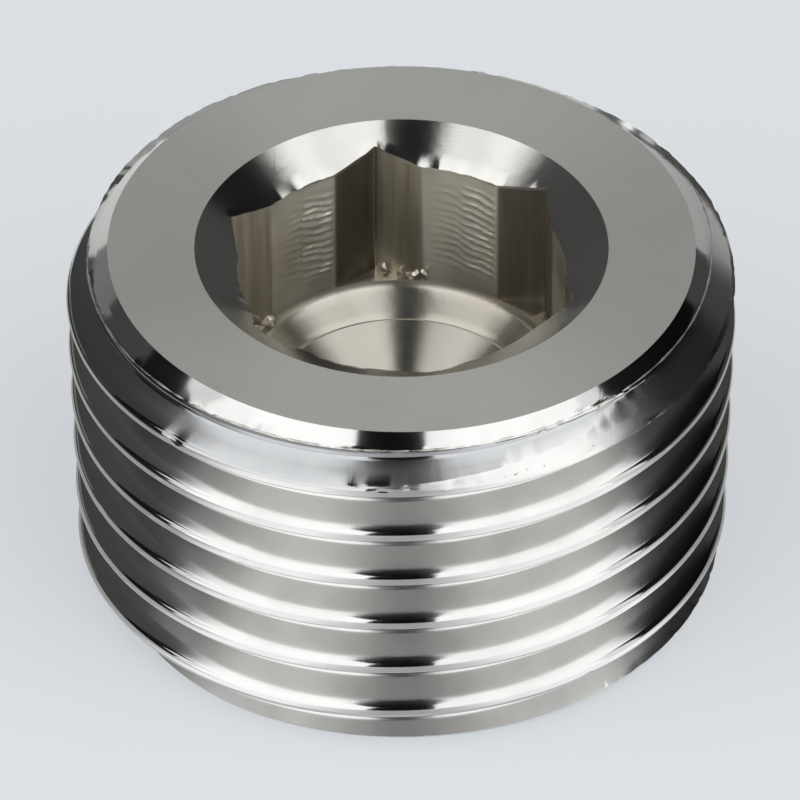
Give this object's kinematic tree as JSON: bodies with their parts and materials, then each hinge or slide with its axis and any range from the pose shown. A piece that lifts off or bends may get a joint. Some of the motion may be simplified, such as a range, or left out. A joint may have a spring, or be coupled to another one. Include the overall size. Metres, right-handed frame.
{
  "type": "threaded hex plug",
  "caption": "Headless tapered pipe plug with a right-hand thread over its whole length and a countersunk hexagon socket in its large end, nickel-plated brass.",
  "frame": {"origin": "centre of the bottom face, the thread's small end, on the plug's axis", "axes": "+Z along the axis, out of the hexagon socket. -Y is the side that the picture shows in front"},
  "size_m": [0.021, 0.0211, 0.012],
  "materials": {
    "nickel_plated_brass": "bright nickel plating over turned brass, satin on the end faces and glossy on the thread"
  },
  "bodies": {
    "root": {"plug_body": "nickel_plated_brass"}
  },
  "joints": []
}
